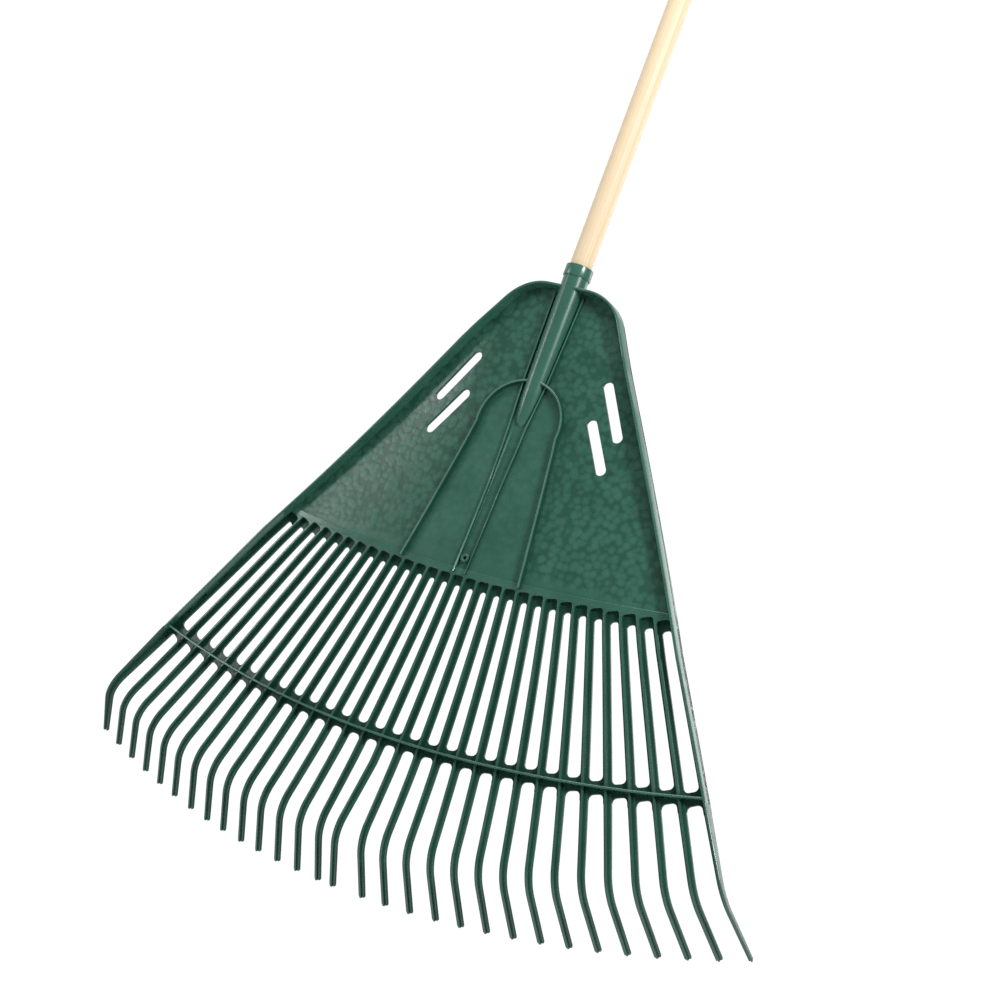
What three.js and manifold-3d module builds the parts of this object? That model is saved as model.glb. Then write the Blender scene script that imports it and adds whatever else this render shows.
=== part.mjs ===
// Leaf rake: a moulded plastic fan head with sprung tines on a turned wooden pole.
// Millimetres, +Z up, the pole along Z and the ribbed face of the head towards -Y.
// The origin is the middle of the pole's flat upper end.
// The head is drawn flat, in X and in the distance below the fan centre, where the lines of all
// the tines meet, and is then laid on the bowed surface that the function lie describes.
import * as THREE from 'three';
import { mergeVertices } from 'three/addons/utils/BufferGeometryUtils.js';
import Module from 'manifold-3d';

const wasm = await Module();
wasm.setup();

// ---------- driving dimensions ----------
const tineCount = 30;
const widthAtTips = 762; // across the two outermost tips
const gap = 0.3; // between pieces that touch

// levels down the centre line, measured from the fan centre, each with the radius of its arc
const border = { level: 388, radius: 1487 }; // lower edge of the panel
const pocketTop = { level: 392, radius: 1491 }; // top of the pockets between the tines
const slotTop = { level: 401, radius: 1500 };
const crossbarTop = { level: 557, radius: 1214 };
const crossbarFoot = { level: 569.5, radius: 1226.5 };
const tips = { level: 712.5, radius: 1089 };
const panelTop = 81.5;
const cornerRadius = 50;

// the bowed surface
const bowLevel = 215; // the centre line is nearest the back here
const bowSetback = -4.5;
const lengthBowRadius = 3566;
const crossBowRadius = 1940; // across the grid
const topBowGain = 0.0088; // extra bow for each millimetre above the grid
const topSetback = { foot: 160, depth: 8 }; // the top of the panel leans back
const edgeSetback = { start: 150, end: 300, depth: 3 }; // so do the fan's outer edges

// walls and ribs
const panelWall = 3;
const rimWall = 2.8;
const rimHeightAtTop = 12.4;
const rimHeight = 14.6; // at the border
const rimHeightAtCrossbar = 11;
const swellTop = 250; // below this level the panel's face swells out to the tines' ribs
const dish = { foot: 230, depth: 8, halfWidth: 76 }; // hollow round the socket
const overlap = 0.5; // how far raised ribs reach into the wall below them
const ribWidth = 2.6;
const channelRibWidth = 2;
const archRibHeight = 6;
const archRibTop = 184; // level of the arch's crown
const archRibRadius = 46;
const archRibSpread = 68; // half the distance between the feet
const channelRibHeight = 3;
// half the distance between the channel ribs, at levels down the panel
const channelRibs = [[88, 16.5], [181, 13.5], [232, 9.6], [294, 7.3], [390, 6.6]];
const gateBoss = { level: 376, radius: 4.3, height: 5, pitRadius: 1.8, pitDepth: 4 };

// the slots in the panel: the two ends of each slot's middle line
const panelSlotWidth = 10.6;
const panelSlots = [
  { top: [76, 171], foot: [102.5, 217.5] },
  { top: [73.6, 211.8], foot: [98.5, 253.2] },
];

// tines
const tineWidth = 8;
const tineTipWidth = 6.4;
const tineWall = 2.8;
const tineRibHeight = 4.6;
const tineTipRibHeight = 2;
const crossbarRibHeight = 9;
const slotCornerTop = 3;
const slotCornerFoot = 4.6;
const bendAngle = THREE.MathUtils.degToRad(47);
const bendRadius = 40;
const bendStart = 66; // before the tip, along the tine's line
const bendSteps = 3;
const stubLength = 20; // rigid root below the crossbar, up to the flexing line
// how far some tips have strayed sideways in use, by tine counted from 0
const stray = { 6: 1.5, 7: 1.5, 10: -2, 11: -2.5, 12: -3, 13: -3, 14: -11, 15: -2.5, 16: -2.5, 17: -1.5 };
const flexRelief = THREE.MathUtils.degToRad(18);

// pole, socket and screw
const poleRadius = 11.5;
const poleLength = 1219;
const poleEndRound = 3;
const poleTaperTip = 8.4; // radius at the lower end
const poleShoulder = 4.5; // the taper starts this far above the socket's mouth
const poleStep = 0.3;
const socketDepth = 110;
const socketMouth = 58.3; // level of the mouth
const collarWall = 2.7;
const collarLength = 12;
const collarChamfer = 1;
const socketWall = 1.9;
const socketEnd = 232;
const socketFoot = { radius: 7.4, shoulder: 6, nose: 2, noseShare: 0.8, tipShare: 0.5 };
const screw = { level: 108, shank: 1.9, point: 3, head: 4.2, headHeight: 2.4, slot: 1, bite: 8 };

// ---------- values worked out from them ----------
const tipAngle = solveTipAngle();
const pitchAngle = (2 * tipAngle) / (tineCount - 1);
const poleFoot = socketMouth + socketDepth;
const collarRadius = poleRadius + collarWall;
const poleHead = poleLength - poleFoot; // height of the pole's upper end above the fan centre
const edgeOffset = tineWidth / 2 - 1; // the outermost tines' outer face from their line
const wide = widthAtTips; // wider than the head anywhere
const beyond = 90; // further than the head reaches in front or behind
const sharp = 0.01; // the radius of a corner that stays sharp

// ---------- materials ----------
const greenPlastic = new THREE.MeshStandardMaterial({ color: 0x3a6353, roughness: 0.45, metalness: 0 });
const blondWood = new THREE.MeshStandardMaterial({ color: 0xf3dcae, roughness: 0.55, metalness: 0 });
const zincSteel = new THREE.MeshStandardMaterial({ color: 0xb9bcbd, roughness: 0.35, metalness: 1 });

// ---------- geometry of the fan ----------
// distance from the fan centre to an arc, along the line at an angle to the pole
function reach(arc, angle) {
  const centre = arc.level - arc.radius;
  return centre * Math.cos(angle) + Math.sqrt(arc.radius ** 2 - (centre * Math.sin(angle)) ** 2);
}

function solveTipAngle() {
  let angle = 0.5;
  for (let step = 0; step < 40; step += 1) angle = Math.asin(widthAtTips / 2 / reach(tips, angle));
  return angle;
}

function lineAngle(index) {
  return (index - (tineCount - 1) / 2) * pitchAngle;
}

// how far the top of the panel leans back at a level
function leanBack(level) {
  return topSetback.depth * THREE.MathUtils.smoothstep(-level, -topSetback.foot, -panelTop);
}

// Y of the ribbed face at x and at a level below the fan centre
function lie(x, level) {
  const cross = (1 + topBowGain * Math.max(slotTop.level - level, 0)) / (2 * crossBowRadius);
  const edgeShare = THREE.MathUtils.smoothstep(Math.abs(x), edgeSetback.start, edgeSetback.end);
  const length = (level - bowLevel) ** 2 / (2 * lengthBowRadius);
  return bowSetback - length + cross * x * x + edgeSetback.depth * edgeShare + leanBack(level);
}

// a point in the flat pattern: along a tine's line and off to its side
function onLine(angle, along, side = 0) {
  return new THREE.Vector2(
    along * Math.sin(angle) + side * Math.cos(angle),
    -along * Math.cos(angle) + side * Math.sin(angle),
  );
}

// points along an arc of the fan between two angles, pushed down by a distance
function arcPoints(arc, from, to, steps, push = 0) {
  const points = [];
  for (let step = 0; step <= steps; step += 1) {
    const angle = from + ((to - from) * step) / steps;
    points.push(onLine(angle, reach(arc, angle) + push));
  }
  return points;
}

// ---------- solids ----------
function solidOf(geometry) {
  const bare = new THREE.BufferGeometry();
  bare.setAttribute('position', geometry.getAttribute('position').clone());
  if (geometry.index) bare.setIndex(geometry.index.clone());
  const merged = mergeVertices(bare, 1e-4);
  const vertProperties = new Float32Array(merged.getAttribute('position').array);
  const triVerts = new Uint32Array(merged.index.array);
  return new wasm.Manifold(new wasm.Mesh({ numProp: 3, vertProperties, triVerts }));
}

function geometryOf(solid) {
  const mesh = solid.getMesh();
  const geometry = new THREE.BufferGeometry();
  geometry.setAttribute('position', new THREE.BufferAttribute(new Float32Array(mesh.vertProperties), 3));
  geometry.setIndex(new THREE.BufferAttribute(new Uint32Array(mesh.triVerts), 1));
  geometry.computeVertexNormals();
  return geometry;
}

function join(solids) {
  return solids.reduce((whole, next) => whole.add(next));
}

// a flat outline in X and Z, cut right through the head along Y
function prism(points) {
  const shape = new THREE.Shape(points);
  const geometry = new THREE.ExtrudeGeometry(shape, { depth: 2 * beyond, bevelEnabled: false });
  geometry.rotateX(Math.PI / 2);
  geometry.translate(0, beyond, 0);
  return solidOf(geometry);
}

// a size that may depend on the place
function at(size, x, level) {
  return typeof size === 'function' ? size(x, level) : size;
}

// the layer between two offsets from the bowed surface, towards the ribbed side and behind it
function layer(front, behind, fromLevel, toLevel, columns = 10, rows = 4) {
  const length = toLevel - fromLevel;
  const geometry = new THREE.BoxGeometry(wide, 2, length, columns, 1, rows);
  geometry.translate(0, 0, -(fromLevel + toLevel) / 2);
  const place = geometry.getAttribute('position');
  for (let index = 0; index < place.count; index += 1) {
    const level = -place.getZ(index);
    const x = place.getX(index);
    const offset = place.getY(index) > 0 ? at(behind, x, level) : -at(front, x, level);
    place.setY(index, lie(x, level) + offset);
  }
  return solidOf(geometry);
}

// a closed outline with every corner rounded by its own radius
function rounded(corners, radii, steps = 2) {
  const points = [];
  corners.forEach((corner, index) => {
    const before = corners[(index + corners.length - 1) % corners.length];
    const after = corners[(index + 1) % corners.length];
    const inward = before.clone().sub(corner).normalize();
    const outward = after.clone().sub(corner).normalize();
    const half = Math.acos(THREE.MathUtils.clamp(inward.dot(outward), -1, 1)) / 2;
    const radius = radii[index];
    const bisector = inward.clone().add(outward).normalize();
    const centre = bisector.multiplyScalar(radius / Math.sin(half)).add(corner);
    const start = inward.multiplyScalar(radius / Math.tan(half)).add(corner).sub(centre);
    const end = outward.multiplyScalar(radius / Math.tan(half)).add(corner).sub(centre);
    const turn = Math.atan2(start.cross(end), start.dot(end));
    for (let step = 0; step <= steps; step += 1) {
      points.push(start.clone().rotateAround(new THREE.Vector2(), (turn * step) / steps).add(centre));
    }
  });
  return points;
}

// a strip of constant width along a path of points
function strip(path, width) {
  const left = [];
  const right = [];
  path.forEach((point, index) => {
    const before = path[Math.max(index - 1, 0)];
    const after = path[Math.min(index + 1, path.length - 1)];
    const along = after.clone().sub(before).normalize();
    const across = new THREE.Vector2(-along.y, along.x).multiplyScalar(width / 2);
    left.push(point.clone().add(across));
    right.push(point.clone().sub(across));
  });
  return prism([...left, ...right.reverse()]);
}

function mirrored(points) {
  return points.map((point) => new THREE.Vector2(-point.x, point.y));
}

function lathe(profile, sides) {
  return new THREE.LatheGeometry(profile.map(([radius, height]) => new THREE.Vector2(radius, height)), sides);
}

// ---------- head panel ----------
function edgeAt(level, inset) {
  return onLineLevel(tipAngle, edgeOffset - inset, level);
}

// the point at a level on a line beside a tine's line
function onLineLevel(angle, side, level) {
  const along = (level + side * Math.sin(angle)) / Math.cos(angle);
  return onLine(angle, along, side);
}

function panelOutline(inset) {
  const top = panelTop + inset;
  const corner = edgeAt(top, inset);
  const low = onLine(tipAngle, reach(border, tipAngle) + 40, edgeOffset - inset);
  const side = [low, corner, new THREE.Vector2(-corner.x, corner.y), new THREE.Vector2(-low.x, low.y)];
  const radius = cornerRadius - inset;
  return rounded(side, [sharp, radius, radius, sharp], 6);
}

// everything between the border and a level, above or below it
function besideBorder(level, push = 0) {
  const line = arcPoints(border, -tipAngle * 1.2, tipAngle * 1.2, 16, push);
  return prism([new THREE.Vector2(-wide, -level), ...line, new THREE.Vector2(wide, -level)]);
}

function panelSlotPrism(slot, side) {
  const top = new THREE.Vector2(slot.top[0] * side, -slot.top[1]);
  const foot = new THREE.Vector2(slot.foot[0] * side, -slot.foot[1]);
  const along = foot.clone().sub(top).normalize().multiplyScalar(panelSlotWidth / 2);
  const across = new THREE.Vector2(-along.y, along.x);
  const corners = [
    top.clone().sub(along).add(across),
    top.clone().sub(along).sub(across),
    foot.clone().add(along).sub(across),
    foot.clone().add(along).add(across),
  ];
  const radius = panelSlotWidth / 2 - 0.1;
  return prism(rounded(corners, [radius, radius, radius, radius]));
}

function archPath() {
  const centreLevel = archRibTop + archRibRadius;
  const foot = new THREE.Vector2(archRibSpread, -(border.level + 2));
  const steps = 10;
  const lean = Math.atan((archRibSpread - archRibRadius) / (border.level - centreLevel));
  const arch = [];
  for (let step = 0; step <= steps; step += 1) {
    const angle = -lean + ((Math.PI + 2 * lean) * step) / steps;
    const point = new THREE.Vector2(Math.cos(angle), Math.sin(angle)).multiplyScalar(archRibRadius);
    arch.push(point.sub(new THREE.Vector2(0, centreLevel)));
  }
  return [foot, ...arch, new THREE.Vector2(-foot.x, foot.y)];
}

// how far the panel's face stands out of the bowed surface
function face(x, level) {
  const swell = THREE.MathUtils.clamp((level - swellTop) / (border.level - swellTop), 0, 1);
  const hollow = THREE.MathUtils.clamp((dish.foot - level) / (dish.foot - panelTop), 0, 1);
  const middle = Math.max(1 - (x / dish.halfWidth) ** 2, 0);
  const dip = Math.max(dish.depth * hollow - leanBack(level), 0);
  return tineRibHeight * swell - dip * middle;
}

// a rib on the panel's face
function panelRib(path, height, width) {
  return panelLayer((x, level) => face(x, level) + height, inPlate).intersect(strip(path, width));
}

function inPlate(x, level) {
  return overlap - face(x, level);
}

function behindRim(x, level) {
  return Math.max(inPlate(x, level), tineWall);
}

function rimOnPanel(x, level) {
  const share = THREE.MathUtils.clamp((level - panelTop) / (border.level - panelTop), 0, 1);
  return THREE.MathUtils.lerp(rimHeightAtTop, rimHeight, share);
}

function panelLayer(front, behind) {
  return layer(front, behind, panelTop - 10, border.level + 10, 10, 7);
}

function headPanel() {
  const outline = prism(panelOutline(0));
  const ring = outline.subtract(prism(panelOutline(rimWall)));
  const plate = panelLayer(face, (x, level) => panelWall - face(x, level)).intersect(outline);
  const rim = panelLayer(rimOnPanel, behindRim).intersect(ring);
  const arch = panelRib(archPath(), archRibHeight, ribWidth);
  const channel = [-1, 1].map((side) => {
    const path = channelRibs.map(([level, half]) => new THREE.Vector2(side * half, -level));
    return panelRib(path, channelRibHeight, channelRibWidth);
  });
  const bossFace = lie(0, gateBoss.level) - face(0, gateBoss.level);
  const boss = column(gateBoss.radius, gateBoss.level, bossFace - gateBoss.height, bossFace + 1);
  const pitFoot = bossFace - gateBoss.height + gateBoss.pitDepth;
  const pit = column(gateBoss.pitRadius, gateBoss.level, -beyond, pitFoot);
  let panel = join([plate, rim, arch, ...channel, boss]).subtract(pit);
  for (const slot of panelSlots) {
    for (const side of [-1, 1]) panel = panel.subtract(panelSlotPrism(slot, side));
  }
  return panel.intersect(besideBorder(0, -gap)).subtract(socketOuter(gap));
}

// a round column along Y
function column(radius, level, near, far, sides = 16) {
  const geometry = new THREE.CylinderGeometry(radius, radius, far - near, sides);
  geometry.translate(0, (near + far) / 2, -level);
  return solidOf(geometry);
}

// ---------- handle socket ----------
function poleRadiusAt(level) {
  const start = socketMouth - poleShoulder;
  const share = THREE.MathUtils.clamp((level - start) / (poleFoot - start), 0, 1);
  return THREE.MathUtils.lerp(poleRadius - poleStep, poleTaperTip, share);
}

// the socket's outer surface, grown by a clearance
function socketOuter(grow) {
  const under = socketMouth + collarLength;
  const tubeTop = poleRadiusAt(under) + gap + socketWall;
  const tubeFoot = poleTaperTip + gap + socketWall;
  const end = socketEnd + grow;
  const profile = [
    [0, -socketMouth + grow],
    [collarRadius - collarChamfer + grow, -socketMouth + grow],
    [collarRadius + grow, -socketMouth - collarChamfer + grow],
    [collarRadius + grow, -under - grow],
    [tubeTop + grow, -under - grow],
    [tubeFoot + grow, -poleFoot - 2 * socketWall],
    [socketFoot.radius + grow, -end + socketFoot.shoulder],
    [socketFoot.radius * socketFoot.noseShare + grow, -end + socketFoot.nose],
    [socketFoot.radius * socketFoot.tipShare, -end],
    [0, -end],
  ];
  return solidOf(lathe(profile.reverse(), 24).rotateX(Math.PI / 2));
}

function socketBore() {
  const profile = [
    [0, -poleFoot - gap],
    [poleTaperTip + gap, -poleFoot - gap],
    [poleRadiusAt(socketMouth) + gap, -socketMouth],
    [poleRadiusAt(socketMouth) + gap, -socketMouth + 5],
    [0, -socketMouth + 5],
  ];
  return solidOf(lathe(profile, 24).rotateX(Math.PI / 2));
}

function handleSocket() {
  return socketOuter(0).subtract(socketBore()).subtract(screwHole());
}

// ---------- pole and screw ----------
function pole() {
  const shoulder = -socketMouth + poleShoulder;
  const profile = [
    [0, -poleFoot],
    [poleTaperTip, -poleFoot],
    [poleRadius - poleStep, shoulder],
    [poleRadius, shoulder + 1],
    [poleRadius, poleHead - poleEndRound],
    [poleRadius - poleEndRound * 0.3, poleHead - poleEndRound * 0.3],
    [poleRadius - poleEndRound, poleHead],
    [0, poleHead],
  ];
  return solidOf(lathe(profile, 24).rotateX(Math.PI / 2)).subtract(screwHole());
}

// Y of the socket's back at the screw
function screwSeat() {
  return poleRadiusAt(screw.level) + gap + socketWall;
}

function screwHole() {
  const bottom = screwSeat() - socketWall - gap - screw.bite;
  return column(screw.shank + gap, screw.level, bottom - gap, screwSeat() + 5, 12);
}

function socketScrew() {
  const seat = screwSeat() + gap;
  const profile = [
    [0, seat - socketWall - gap - screw.bite],
    [screw.shank * 0.4, seat - socketWall - gap - screw.bite],
    [screw.shank, seat - socketWall - screw.bite + screw.point],
    [screw.shank, seat],
    [screw.head, seat],
    [screw.head, seat + screw.headHeight * 0.4],
    [screw.head * 0.6, seat + screw.headHeight],
    [0, seat + screw.headHeight],
  ];
  const slot = new THREE.BoxGeometry(screw.head * 3, screw.slot, screw.slot);
  slot.translate(0, seat + screw.headHeight, 0);
  const body = solidOf(lathe(profile, 16)).subtract(solidOf(slot));
  return body.translate([0, 0, -screw.level]);
}

// ---------- tine grid ----------
// the opening between two neighbouring tines, with round corners
function openingPrism(index, arcTop, arcFoot, pushFoot, cornerTop, cornerFoot) {
  const left = lineAngle(index);
  const right = lineAngle(index + 1);
  const middle = (left + right) / 2;
  const top = reach(arcTop, middle);
  const foot = reach(arcFoot, middle) + pushFoot;
  const half = tineWidth / 2;
  const corners = [
    onLine(left, top, half),
    onLine(right, top, -half),
    onLine(right, foot, -half),
    onLine(left, foot, half),
  ];
  const topRadius = Math.min(cornerTop, corners[0].distanceTo(corners[1]) / 2 - sharp);
  const footRadius = Math.min(cornerFoot, corners[2].distanceTo(corners[3]) / 2 - sharp);
  return prism(rounded(corners, [topRadius, topRadius, footRadius, footRadius]));
}

function rimFade(x, level) {
  const share = THREE.MathUtils.clamp((level - border.level) / (crossbarTop.level - border.level), 0, 1);
  return THREE.MathUtils.lerp(rimHeight, rimHeightAtCrossbar, share);
}

function stubEnd(angle) {
  return reach(crossbarFoot, angle) + stubLength;
}

// the fan between the border and the line where the free tines start
function gridOutline() {
  const ends = [];
  for (let index = 0; index < tineCount; index += 1) {
    const angle = lineAngle(index);
    const half = tineWidth / 2;
    const outer = half - edgeOffset;
    const low = index === 0 ? -half + outer : -half;
    const high = index === tineCount - 1 ? half - outer : half;
    ends.push(onLine(angle, stubEnd(angle), low), onLine(angle, stubEnd(angle), high));
  }
  const last = onLine(tipAngle, reach(border, tipAngle) - 30, edgeOffset);
  return prism([...ends, last, ...mirrored([last])]).intersect(besideBorder(wide));
}

function radialRib(index, start, end, width) {
  const angle = lineAngle(index);
  const half = width / 2;
  return prism([
    onLine(angle, start, -half),
    onLine(angle, end, -half),
    onLine(angle, end, half),
    onLine(angle, start, half),
  ]);
}

function sideRim(side) {
  const outer = edgeOffset;
  const inner = edgeOffset - rimWall;
  const start = reach(border, tipAngle) - 10;
  const end = stubEnd(tipAngle);
  const points = [
    onLine(tipAngle, start, inner),
    onLine(tipAngle, end, inner),
    onLine(tipAngle, end, outer),
    onLine(tipAngle, start, outer),
  ];
  return prism(side > 0 ? points : mirrored(points).reverse());
}

function gridLayer(front, behind) {
  const top = reach(border, tipAngle) * Math.cos(tipAngle) - 10;
  return layer(front, behind, top, stubEnd(0) + 10, 16, 4);
}

function tineGrid() {
  let flange = gridLayer(0, tineWall).intersect(gridOutline());
  const openings = [];
  for (let index = 0; index < tineCount - 1; index += 1) {
    openings.push(openingPrism(index, slotTop, crossbarTop, 0, slotCornerTop, slotCornerFoot));
    openings.push(openingPrism(index, crossbarFoot, crossbarFoot, stubLength * 2, slotCornerFoot, sharp));
  }
  flange = flange.subtract(join(openings));
  const ribs = [];
  for (let index = 1; index < tineCount - 1; index += 1) {
    const angle = lineAngle(index);
    ribs.push(radialRib(index, reach(border, angle) + 1, stubEnd(angle), ribWidth));
  }
  const middleArc = { level: (crossbarTop.level + crossbarFoot.level) / 2, radius: crossbarTop.radius };
  const edgeShare = 1 - (edgeOffset - rimWall / 2) / widthAtTips;
  const barPath = arcPoints(middleArc, -tipAngle * edgeShare, tipAngle * edgeShare, 16);
  const borderStrip = [
    ...arcPoints(border, -tipAngle, tipAngle, 14, -10),
    ...arcPoints(pocketTop, tipAngle, -tipAngle, 14),
  ];
  const raised = [
    gridLayer(tineRibHeight, overlap).intersect(join([...ribs, prism(borderStrip)])),
    gridLayer(crossbarRibHeight, overlap).intersect(strip(barPath, ribWidth)),
    gridLayer(rimFade, overlap).intersect(join([sideRim(-1), sideRim(1)])),
  ];
  return join([flange, ...raised]).intersect(gridOutline());
}

// ---------- free tines ----------
// the tine's middle line in its own plane: along the line from the fan centre, and Y
function tinePath(angle) {
  const start = stubEnd(angle) + gap;
  const bend = reach(tips, angle) - bendStart;
  const surface = (along) => lie(along * Math.sin(angle), along * Math.cos(angle));
  const slope = Math.atan2(surface(bend) - surface(start), bend - start);
  const path = [{ along: start, y: surface(start), heading: slope }];
  let point = { along: bend, y: surface(bend), heading: slope };
  path.push(point);
  for (let step = 1; step <= bendSteps; step += 1) {
    const turn = bendAngle / bendSteps;
    const chord = 2 * bendRadius * Math.sin(turn / 2);
    const heading = point.heading + turn / 2;
    point = {
      along: point.along + chord * Math.cos(heading),
      y: point.y + chord * Math.sin(heading),
      heading: point.heading + turn,
    };
    path.push(point);
  }
  const rest = (reach(tips, angle) - point.along) / Math.cos(point.heading);
  path.push({
    along: reach(tips, angle),
    y: point.y + rest * Math.sin(point.heading),
    heading: point.heading,
  });
  return path;
}

// a tine's section: X across it, Y from the bowed surface towards the ribbed side;
// an outermost tine has its rib along its outer edge, as the rim carried on
function tineSection(index) {
  const outermost = isOutermost(index);
  const side = index === 0 ? -1 : 1;
  const half = tineWidth / 2;
  const edge = outermost ? edgeOffset : half;
  const ribEdge = outermost ? edge : ribWidth / 2;
  const ribRoot = ribEdge - (outermost ? rimWall : ribWidth);
  const corners = [
    [-half, -tineWall],
    [edge, -tineWall],
    [edge, 0],
    [ribEdge, 0],
    [ribEdge, tineRibHeight],
    [ribRoot, tineRibHeight],
    [ribRoot, 0],
    [-half, 0],
  ];
  if (outermost) corners.splice(2, 2);
  return new THREE.Shape(corners.map(([across, out]) => new THREE.Vector2(side * across, out)));
}

function isOutermost(index) {
  return index === 0 || index === tineCount - 1;
}

// how tall the rib stands at a share of the tine's length
function tineRibAt(share, index) {
  if (isOutermost(index)) return THREE.MathUtils.lerp(rimHeightAtCrossbar, tineRibHeight, share);
  return THREE.MathUtils.lerp(tineRibHeight, tineTipRibHeight, share);
}

function tine(index) {
  const angle = lineAngle(index);
  const path = tinePath(angle);
  const steps = path.length - 1;
  const geometry = new THREE.ExtrudeGeometry(tineSection(index), { depth: 1, steps, bevelEnabled: false });
  const place = geometry.getAttribute('position');
  const middle = (tineRibHeight - tineWall) / 2;
  for (let vertex = 0; vertex < place.count; vertex += 1) {
    const share = place.getZ(vertex);
    const point = path[Math.round(share * steps)];
    const ribShare = tineRibAt(share, index) / tineRibHeight;
    const out = place.getY(vertex) > 0 ? place.getY(vertex) * ribShare : place.getY(vertex);
    const relief = share === 0 ? Math.abs(out - middle) * Math.tan(flexRelief) : 0;
    const across = place.getX(vertex) * THREE.MathUtils.lerp(1, tineTipWidth / tineWidth, share);
    const along = point.along + out * Math.sin(point.heading) + relief * Math.cos(point.heading);
    const reached = (point.along - path[0].along) / (path[steps].along - path[0].along);
    const strayed = (stray[index] ?? 0) * reached;
    const flat = onLine(angle, along, across + strayed);
    const y = point.y - out * Math.cos(point.heading) + relief * Math.sin(point.heading);
    place.setXYZ(vertex, flat.x, y, flat.y);
  }
  return solidOf(geometry);
}

// ---------- the assembly ----------
const group = new THREE.Group();
const head = new THREE.Group();
head.position.z = -poleHead;
group.add(head);

function place(name, solid, material) {
  const mesh = new THREE.Mesh(geometryOf(solid), material);
  mesh.name = name;
  head.add(mesh);
}

place('head_panel', headPanel(), greenPlastic);
place('handle_socket', handleSocket(), greenPlastic);
place('tine_grid', tineGrid(), greenPlastic);
for (let index = 0; index < tineCount; index += 1) {
  place(`tine_${String(index + 1).padStart(2, '0')}`, tine(index), greenPlastic);
}
place('pole', pole(), blondWood);
place('socket_screw', socketScrew(), zincSteel);

export default group;
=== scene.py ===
import math

import bmesh
import bpy
from mathutils import Matrix, Vector


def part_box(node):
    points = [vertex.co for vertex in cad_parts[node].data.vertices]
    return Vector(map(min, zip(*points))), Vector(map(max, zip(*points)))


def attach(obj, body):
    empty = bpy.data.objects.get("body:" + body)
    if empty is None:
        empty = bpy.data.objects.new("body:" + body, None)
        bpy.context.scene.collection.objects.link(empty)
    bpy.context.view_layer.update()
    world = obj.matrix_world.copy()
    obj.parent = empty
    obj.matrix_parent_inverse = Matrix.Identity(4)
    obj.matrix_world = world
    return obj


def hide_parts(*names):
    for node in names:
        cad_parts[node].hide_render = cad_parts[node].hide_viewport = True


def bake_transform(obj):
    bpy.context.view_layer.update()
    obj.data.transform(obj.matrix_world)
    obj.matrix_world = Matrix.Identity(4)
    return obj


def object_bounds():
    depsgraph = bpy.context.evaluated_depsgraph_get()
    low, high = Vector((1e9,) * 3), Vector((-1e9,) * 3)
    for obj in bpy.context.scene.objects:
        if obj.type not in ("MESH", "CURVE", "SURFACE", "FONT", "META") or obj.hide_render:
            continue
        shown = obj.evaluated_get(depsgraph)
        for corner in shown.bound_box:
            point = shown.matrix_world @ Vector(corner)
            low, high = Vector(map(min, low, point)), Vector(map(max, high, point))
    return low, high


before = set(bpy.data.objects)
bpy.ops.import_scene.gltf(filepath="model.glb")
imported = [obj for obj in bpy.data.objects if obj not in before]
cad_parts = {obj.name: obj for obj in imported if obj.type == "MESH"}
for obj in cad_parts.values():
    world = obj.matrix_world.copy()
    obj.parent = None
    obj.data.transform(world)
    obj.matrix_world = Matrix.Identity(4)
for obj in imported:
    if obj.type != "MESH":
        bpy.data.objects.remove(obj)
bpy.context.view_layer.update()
mm = 0.001
mergeDistance = 1e-4
arcSteps = 48  # along an arc that crosses the whole fan

# The head is drawn flat in millimetres and then laid on its bowed surface.
# x runs across, z runs down from the fan centre, where the lines of all the tines meet,
# and y is the distance behind the bowed surface, so the ribs stand at negative y.

fan = {
    "tines": 30,
    "widthAtTips": 762,
    "border": (388, 1487),  # level on the centre line, and the radius of the arc
    "pocketTop": (392, 1491),
    "slotTop": (401, 1500),
    "barTop": (557, 1214),
    "barFoot": (569.5, 1226.5),
    "tips": (712.5, 1089),
    "poleEnd": 168.3,  # level of the pole's lower end
}
lastTine = fan["tines"] - 1

bow = {
    "nearestBackAt": 215,
    "setback": -4.5,
    "lengthRadius": 3566,
    "crossRadius": 1940,
    "topGain": 0.0088,
    "topFoot": 160,  # above this level the panel leans back
    "topSetback": 8,
    "edgeStart": 150,  # outside this x the fan leans back
    "edgeEnd": 300,
    "edgeSetback": 3,
    "swellFrom": 250,
    "swell": 4.6,
    "dishFoot": 230,
    "dishDepth": 8,
    "dishHalfWidth": 76,
    "dishLimit": 1.1,  # above the panel's top the dish gets no deeper than this share
    "grooveDepth": 1.1,
    "grooveHalfWidth": 7.2,
    "grooveSide": 1.4,  # width of the groove's sloping sides
    "grooveFrom": 226,
    "grooveRunIn": 8,
    "grooveRunOut": 2,
}


def reach(arc, angle):
    centre = arc[0] - arc[1]
    return centre * math.cos(angle) + math.sqrt(arc[1] ** 2 - (centre * math.sin(angle)) ** 2)


# the outermost tines' angle at which the tips are as far apart as they should be
def solveTipAngle():
    angle = 0.5  # a first guess
    for step in range(40):
        angle = math.asin(fan["widthAtTips"] / 2 / reach(fan["tips"], angle))
    return angle


tipAngle = solveTipAngle()
pitchAngle = 2 * tipAngle / lastTine
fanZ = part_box("pole")[0][2] + fan["poleEnd"] * mm


def lineAngle(index):
    return (index - lastTine / 2) * pitchAngle


def onLine(angle, along, side=0):
    x = along * math.sin(angle) + side * math.cos(angle)
    return Vector((x, -along * math.cos(angle) + side * math.sin(angle)))


def arcPoints(arc, start, end, steps, push=0):
    angles = [start + (end - start) * step / steps for step in range(steps + 1)]
    return [onLine(angle, reach(arc, angle) + push) for angle in angles]


def smooth(share):
    share = min(max(share, 0), 1)
    return share * share * (3 - 2 * share)


# how far down the panel a point is, counted along arcs that share the border's centre
def arcLevel(x, level):
    centre = fan["border"][0] - fan["border"][1]
    return centre + math.hypot(x, level - centre)


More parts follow.
